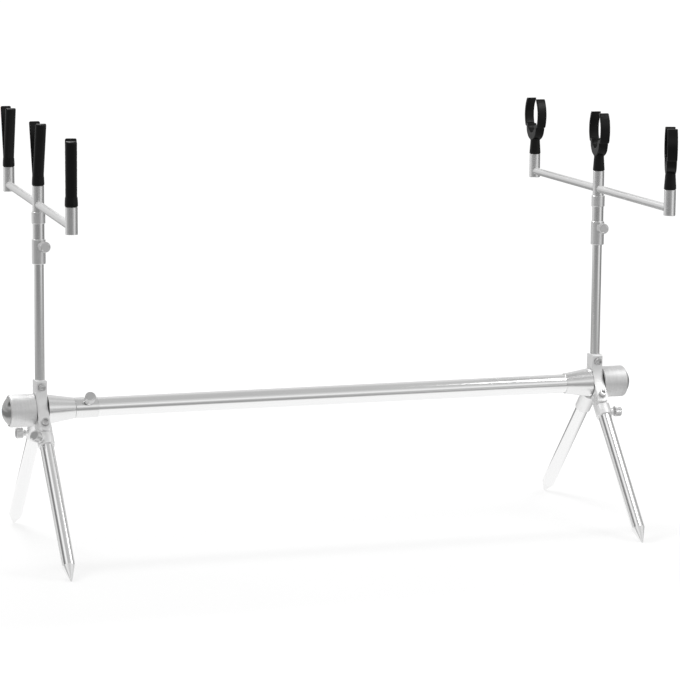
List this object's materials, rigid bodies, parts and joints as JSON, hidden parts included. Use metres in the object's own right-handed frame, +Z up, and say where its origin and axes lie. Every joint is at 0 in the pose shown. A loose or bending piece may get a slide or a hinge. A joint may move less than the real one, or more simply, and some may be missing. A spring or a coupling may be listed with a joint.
{
  "type": "rod pod",
  "caption": "Free-standing rod pod: telescopic bar between hub brackets with spiked legs, uprights and cross-bars that hold fishing rods in forked and cupped rests.",
  "frame": {"origin": "on the floor, under the middle of the bar", "axes": "+X along the bar from the rear (butt rests) to the front (rod rests), +Y to the left, +Z up"},
  "size_m": [0.8658, 0.5327, 0.5535],
  "materials": {
    "bright_tube": "bright drawn tube",
    "satin_alloy": "satin turned",
    "cast_alloy": "bright cast, tumbled",
    "blasted_alloy": "bead-blasted",
    "polished_cap": "polished, dark",
    "polished_rod": "polished rod",
    "thumbscrew_alloy": "turned, knurled",
    "steel": "zinc plated",
    "nylon": "matte",
    "rest_rubber": "satin moulded rubber"
  },
  "bodies": {
    "rear_bar": {"rear_tube": "satin_alloy", "rear_cone": "satin_alloy", "rear_stud": "steel"},
    "front_bar": {"main_tube": "bright_tube", "bar_sleeve": "bright_tube", "bar_bush": "nylon", "front_cone": "satin_alloy", "front_stud": "steel"},
    "bar_thumbscrew": {"bar_thumbscrew": "thumbscrew_alloy"},
    "rear_bracket": {"rear_bracket": "cast_alloy", "rear_washers": "nylon", "rear_bracket_screws": "steel", "rear_upright_rod": "polished_rod", "rear_left_socket": "cast_alloy", "rear_right_socket": "cast_alloy"},
    "rear_knob": {"rear_knob": "blasted_alloy", "rear_knob_cap": "polished_cap"},
    "rear_stem": {"rear_stem_sleeve": "satin_alloy", "rear_stem_tube": "satin_alloy"},
    "rear_stem_thumbscrew": {"rear_stem_thumbscrew": "thumbscrew_alloy"},
    "rear_lock_collar": {"rear_lock_collar": "satin_alloy"},
    "rear_cross_bar": {"rear_cross_bar": "satin_alloy", "rear_middle_post": "satin_alloy", "rear_outer_posts": "satin_alloy"},
    "rear_left_leg": {"rear_left_leg_tube": "bright_tube", "rear_left_spike": "satin_alloy"},
    "rear_left_leg_thumbscrew": {"rear_left_leg_thumbscrew": "thumbscrew_alloy"},
    "rear_right_leg": {"rear_right_leg_tube": "bright_tube", "rear_right_spike": "satin_alloy"},
    "rear_right_leg_thumbscrew": {"rear_right_leg_thumbscrew": "thumbscrew_alloy"},
    "rear_left_rest": {"rear_left_rest": "rest_rubber"},
    "rear_middle_rest": {"rear_middle_rest": "rest_rubber"},
    "rear_right_rest": {"rear_right_rest": "rest_rubber"},
    "front_bracket": {"front_bracket": "cast_alloy", "front_washers": "nylon", "front_bracket_screws": "steel", "front_upright_rod": "polished_rod", "front_left_socket": "cast_alloy", "front_right_socket": "cast_alloy"},
    "front_knob": {"front_knob": "blasted_alloy", "front_knob_cap": "polished_cap"},
    "front_stem": {"front_stem_sleeve": "satin_alloy", "front_stem_tube": "satin_alloy"},
    "front_stem_thumbscrew": {"front_stem_thumbscrew": "thumbscrew_alloy"},
    "front_lock_collar": {"front_lock_collar": "satin_alloy"},
    "front_cross_bar": {"front_cross_bar": "satin_alloy", "front_middle_post": "satin_alloy", "front_outer_posts": "satin_alloy"},
    "front_left_leg": {"front_left_leg_tube": "bright_tube", "front_left_spike": "satin_alloy"},
    "front_left_leg_thumbscrew": {"front_left_leg_thumbscrew": "thumbscrew_alloy"},
    "front_right_leg": {"front_right_leg_tube": "bright_tube", "front_right_spike": "satin_alloy"},
    "front_right_leg_thumbscrew": {"front_right_leg_thumbscrew": "thumbscrew_alloy"},
    "front_left_rest": {"front_left_rest": "rest_rubber"},
    "front_middle_rest": {"front_middle_rest": "rest_rubber"},
    "front_right_rest": {"front_right_rest": "rest_rubber"}
  },
  "joints": [
    {"name": "bar_slide", "type": "slide", "parent": "rear_bar", "child": "front_bar", "axis": [1, 0, 0], "range_m": [0, 0.36]},
    {"name": "bar_thumbscrew_turn", "type": "hinge", "parent": "front_bar", "child": "bar_thumbscrew", "pos_m": [-0.32175, 0, 0.185], "axis": [0, -0.7431, 0.6691], "continuous": true},
    {"name": "rear_bracket_swivel", "type": "hinge", "parent": "rear_bar", "child": "rear_bracket", "pos_m": [-0.3835, 0, 0.185], "axis": [1, 0, 0], "continuous": true},
    {"name": "rear_knob_turn", "type": "hinge", "parent": "rear_bar", "child": "rear_knob", "pos_m": [-0.3835, 0, 0.185], "axis": [-1, 0, 0], "continuous": true},
    {"name": "rear_stem_slide", "type": "slide", "parent": "rear_bracket", "child": "rear_stem", "axis": [0, 0, 1], "range_m": [0, 0.018]},
    {"name": "rear_stem_thumbscrew_turn", "type": "hinge", "parent": "rear_stem", "child": "rear_stem_thumbscrew", "pos_m": [-0.3835, 0, 0.397], "axis": [0.1908, -0.9816, 0], "continuous": true},
    {"name": "rear_cross_bar_swivel", "type": "hinge", "parent": "rear_stem", "child": "rear_cross_bar", "pos_m": [-0.3835, 0, 0.449], "axis": [0, 0, 1], "continuous": true},
    {"name": "rear_lock_collar_turn", "type": "hinge", "parent": "rear_cross_bar", "child": "rear_lock_collar", "pos_m": [-0.3835, 0, 0.4325], "axis": [0, 0, 1], "continuous": true},
    {"name": "rear_left_leg_slide", "type": "slide", "parent": "rear_bracket", "child": "rear_left_leg", "axis": [0, 0.682, -0.7314], "range_m": [0, 0.013]},
    {"name": "rear_left_leg_thumbscrew_turn", "type": "hinge", "parent": "rear_bracket", "child": "rear_left_leg_thumbscrew", "pos_m": [-0.3835, 0.03308, 0.14953], "axis": [-1, 0, 0], "continuous": true},
    {"name": "rear_right_leg_slide", "type": "slide", "parent": "rear_bracket", "child": "rear_right_leg", "axis": [0, -0.682, -0.7314], "range_m": [0, 0.013]},
    {"name": "rear_right_leg_thumbscrew_turn", "type": "hinge", "parent": "rear_bracket", "child": "rear_right_leg_thumbscrew", "pos_m": [-0.3835, -0.03308, 0.14953], "axis": [-0.7314, -0.4988, 0.4651], "continuous": true},
    {"name": "rear_left_rest_turn", "type": "hinge", "parent": "rear_cross_bar", "child": "rear_left_rest", "pos_m": [-0.37136, 0.23969, 0.4736], "axis": [0, 0, 1], "continuous": true},
    {"name": "rear_middle_rest_turn", "type": "hinge", "parent": "rear_cross_bar", "child": "rear_middle_rest", "pos_m": [-0.3835, 0, 0.4736], "axis": [0, 0, 1], "continuous": true},
    {"name": "rear_right_rest_turn", "type": "hinge", "parent": "rear_cross_bar", "child": "rear_right_rest", "pos_m": [-0.39564, -0.23969, 0.4736], "axis": [0, 0, 1], "continuous": true},
    {"name": "front_bracket_swivel", "type": "hinge", "parent": "front_bar", "child": "front_bracket", "pos_m": [0.3835, 0, 0.185], "axis": [1, 0, 0], "continuous": true},
    {"name": "front_knob_turn", "type": "hinge", "parent": "front_bar", "child": "front_knob", "pos_m": [0.3835, 0, 0.185], "axis": [1, 0, 0], "continuous": true},
    {"name": "front_stem_slide", "type": "slide", "parent": "front_bracket", "child": "front_stem", "axis": [0, 0, 1], "range_m": [0, 0.018]},
    {"name": "front_stem_thumbscrew_turn", "type": "hinge", "parent": "front_stem", "child": "front_stem_thumbscrew", "pos_m": [0.3835, 0, 0.397], "axis": [0, -1, 0], "continuous": true},
    {"name": "front_cross_bar_swivel", "type": "hinge", "parent": "front_stem", "child": "front_cross_bar", "pos_m": [0.3835, 0, 0.449], "axis": [0, 0, 1], "continuous": true},
    {"name": "front_lock_collar_turn", "type": "hinge", "parent": "front_cross_bar", "child": "front_lock_collar", "pos_m": [0.3835, 0, 0.4325], "axis": [0, 0, 1], "continuous": true},
    {"name": "front_left_leg_slide", "type": "slide", "parent": "front_bracket", "child": "front_left_leg", "axis": [0, 0.682, -0.7314], "range_m": [0, 0.013]},
    {"name": "front_left_leg_thumbscrew_turn", "type": "hinge", "parent": "front_bracket", "child": "front_left_leg_thumbscrew", "pos_m": [0.3835, 0.03308, 0.14953], "axis": [0.7314, 0.4988, 0.4651], "continuous": true},
    {"name": "front_right_leg_slide", "type": "slide", "parent": "front_bracket", "child": "front_right_leg", "axis": [0, -0.682, -0.7314], "range_m": [0, 0.013]},
    {"name": "front_right_leg_thumbscrew_turn", "type": "hinge", "parent": "front_bracket", "child": "front_right_leg_thumbscrew", "pos_m": [0.3835, -0.03308, 0.14953], "axis": [1, 0, 0], "continuous": true},
    {"name": "front_left_rest_turn", "type": "hinge", "parent": "front_cross_bar", "child": "front_left_rest", "pos_m": [0.38685, 0.23998, 0.4736], "axis": [0, 0, 1], "continuous": true},
    {"name": "front_middle_rest_turn", "type": "hinge", "parent": "front_cross_bar", "child": "front_middle_rest", "pos_m": [0.3835, 0, 0.4736], "axis": [0, 0, 1], "continuous": true},
    {"name": "front_right_rest_turn", "type": "hinge", "parent": "front_cross_bar", "child": "front_right_rest", "pos_m": [0.38015, -0.23998, 0.4736], "axis": [0, 0, 1], "continuous": true}
  ]
}
